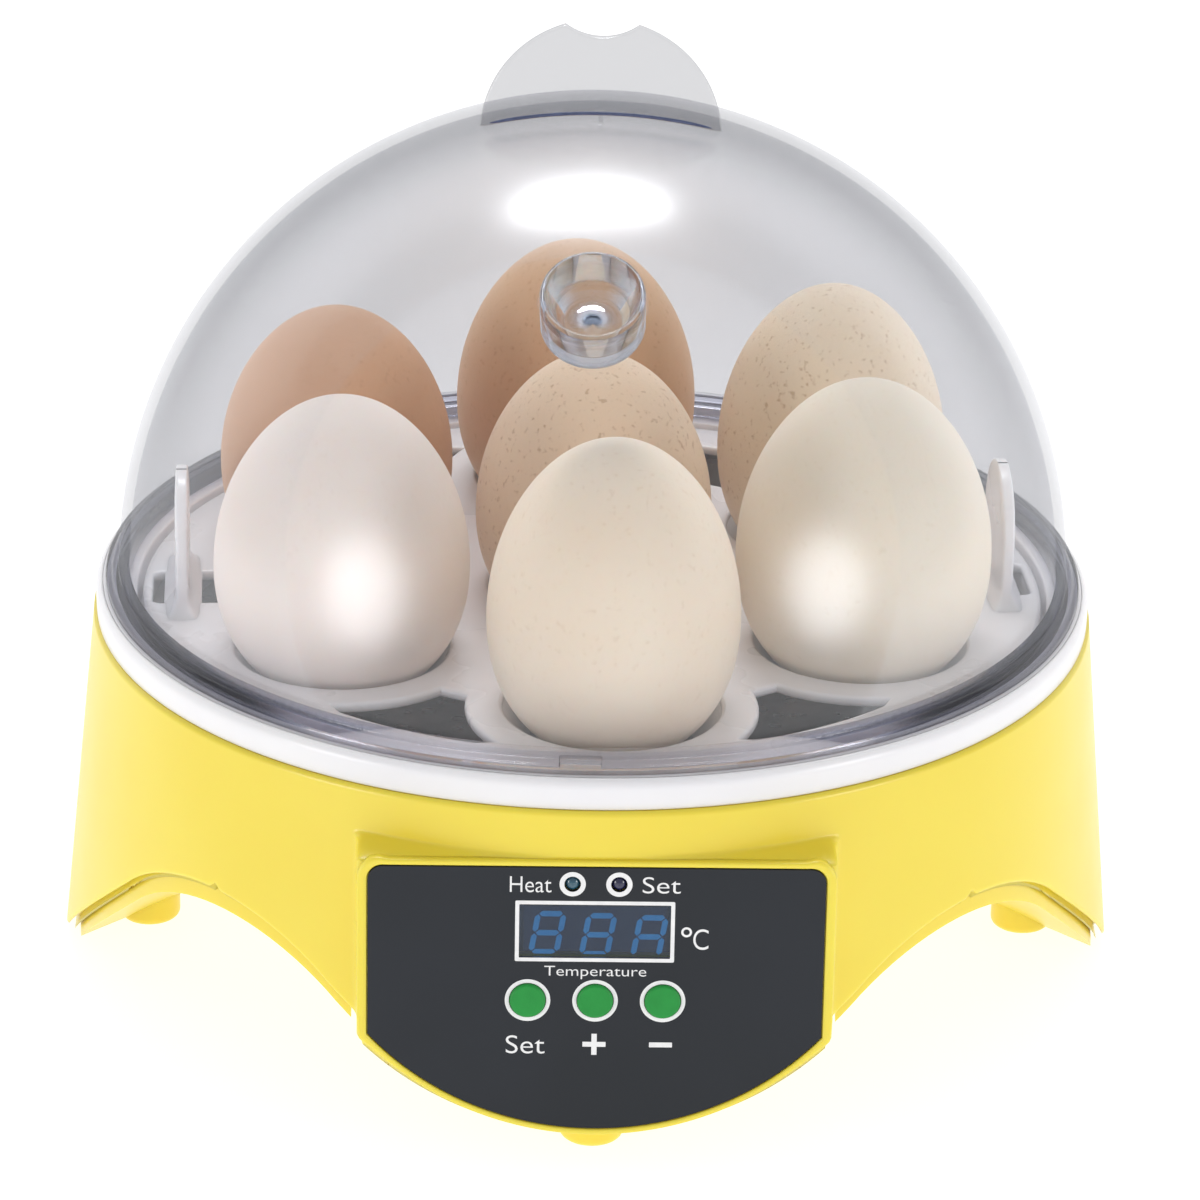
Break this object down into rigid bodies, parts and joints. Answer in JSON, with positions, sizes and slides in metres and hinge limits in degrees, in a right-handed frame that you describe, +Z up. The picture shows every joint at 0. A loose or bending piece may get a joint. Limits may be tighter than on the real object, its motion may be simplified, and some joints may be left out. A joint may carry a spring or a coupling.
{
  "type": "egg incubator",
  "caption": "Small domed tabletop egg incubator: clear lift-off dome, white tub and egg tray, arched base with a display and press buttons.",
  "frame": {"origin": "on the ground under the dome's axis, at the centre of the base", "axes": "+Z up along the dome's axis, the control panel faces -Y, +X to the panel's right as seen from the front"},
  "size_m": [0.2042, 0.2036, 0.1833],
  "materials": {
    "yellow_abs": "satin moulded",
    "white_abs": "satin moulded",
    "clear_ps": "clear polished",
    "eggshell_cream": "matte shell",
    "eggshell_ivory": "matte shell",
    "eggshell_tan": "matte shell",
    "aluminium_sheet": "brushed sheet",
    "silicone": "matte",
    "black_rubber": "matte",
    "steel": "plated",
    "brass": "bright",
    "black_abs": "moulded",
    "panel_film": "printed film",
    "tinted_window": "tinted clear",
    "display_blue": "diffuse",
    "led_teal": "clear tinted",
    "led_navy": "clear tinted",
    "green_silicone": "satin",
    "circuit_board": "lacquered",
    "component": "moulded",
    "winding": "taped"
  },
  "bodies": {
    "base": {"base_shell": "yellow_abs", "bottom_cover": "yellow_abs", "foot_front": "yellow_abs", "foot_right": "yellow_abs", "foot_rear": "yellow_abs", "foot_left": "yellow_abs", "cover_screws": "steel", "inner_tub": "white_abs", "heater_plate": "aluminium_sheet", "heater_mat": "silicone", "heater_screws": "steel", "thermal_cutout": "component", "temp_probe": "steel", "probe_grommet": "black_rubber", "fan_frame": "black_abs", "fan_screws": "steel", "panel_overlay": "panel_film", "display_window": "tinted_window", "display_module": "component", "display_segments": "display_blue", "led_work": "led_teal", "led_set": "led_navy", "tact_switches": "black_abs", "control_board": "circuit_board", "board_screws": "steel", "power_board": "circuit_board", "power_board_screws": "steel", "transformer": "winding", "capacitor": "component", "heater_switch": "component", "mains_inlet": "black_abs", "inlet_pins": "brass"},
    "fan": {"fan_rotor": "black_abs"},
    "tray": {"egg_tray": "white_abs"},
    "egg_front": {"egg_front": "eggshell_cream"},
    "egg_front_right": {"egg_front_right": "eggshell_ivory"},
    "egg_rear_right": {"egg_rear_right": "eggshell_cream"},
    "egg_rear": {"egg_rear": "eggshell_tan"},
    "egg_rear_left": {"egg_rear_left": "eggshell_tan"},
    "egg_front_left": {"egg_front_left": "eggshell_cream"},
    "egg_centre": {"egg_centre": "eggshell_cream"},
    "dome": {"dome_cover": "clear_ps"},
    "plug": {"vent_plug": "clear_ps"},
    "button_set": {"button_set": "green_silicone"},
    "button_plus": {"button_plus": "green_silicone"},
    "button_minus": {"button_minus": "green_silicone"}
  },
  "joints": [
    {"name": "dome_lift", "type": "slide", "parent": "base", "child": "dome", "axis": [0, 0, 1], "range_m": [0, 0.15]},
    {"name": "plug_pull", "type": "slide", "parent": "dome", "child": "plug", "axis": [-0.0205, -0.5874, 0.809], "range_m": [0, 0.018]},
    {"name": "tray_lift", "type": "slide", "parent": "base", "child": "tray", "axis": [0, 0, 1], "range_m": [0, 0.01]},
    {"name": "fan_spin", "type": "hinge", "parent": "base", "child": "fan", "pos_m": [0, 0, 0.045], "axis": [0, 0, 1], "continuous": true},
    {"name": "egg_front_turn", "type": "hinge", "parent": "tray", "child": "egg_front", "pos_m": [0.00293, -0.05592, 0.09], "axis": [0, 0, 1], "continuous": true},
    {"name": "egg_front_right_turn", "type": "hinge", "parent": "tray", "child": "egg_front_right", "pos_m": [0.0499, -0.02542, 0.09], "axis": [0, 0, 1], "continuous": true},
    {"name": "egg_rear_right_turn", "type": "hinge", "parent": "tray", "child": "egg_rear_right", "pos_m": [0.04697, 0.0305, 0.09], "axis": [0, 0, 1], "continuous": true},
    {"name": "egg_rear_turn", "type": "hinge", "parent": "tray", "child": "egg_rear", "pos_m": [-0.00293, 0.05592, 0.09], "axis": [0, 0, 1], "continuous": true},
    {"name": "egg_rear_left_turn", "type": "hinge", "parent": "tray", "child": "egg_rear_left", "pos_m": [-0.0499, 0.02542, 0.09], "axis": [0, 0, 1], "continuous": true},
    {"name": "egg_front_left_turn", "type": "hinge", "parent": "tray", "child": "egg_front_left", "pos_m": [-0.04697, -0.0305, 0.09], "axis": [0, 0, 1], "continuous": true},
    {"name": "egg_centre_turn", "type": "hinge", "parent": "tray", "child": "egg_centre", "pos_m": [0, 0, 0.09], "axis": [0, 0, 1], "continuous": true},
    {"name": "button_set_press", "type": "slide", "parent": "base", "child": "button_set", "axis": [0, 0.9981, -0.061], "range_m": [0, 0.0008], "stiffness_N_per_m": 400, "springref_m": -0.0005},
    {"name": "button_plus_press", "type": "slide", "parent": "base", "child": "button_plus", "axis": [0, 0.9981, -0.061], "range_m": [0, 0.0008], "stiffness_N_per_m": 400, "springref_m": -0.0005},
    {"name": "button_minus_press", "type": "slide", "parent": "base", "child": "button_minus", "axis": [0, 0.9981, -0.061], "range_m": [0, 0.0008], "stiffness_N_per_m": 400, "springref_m": -0.0005}
  ]
}
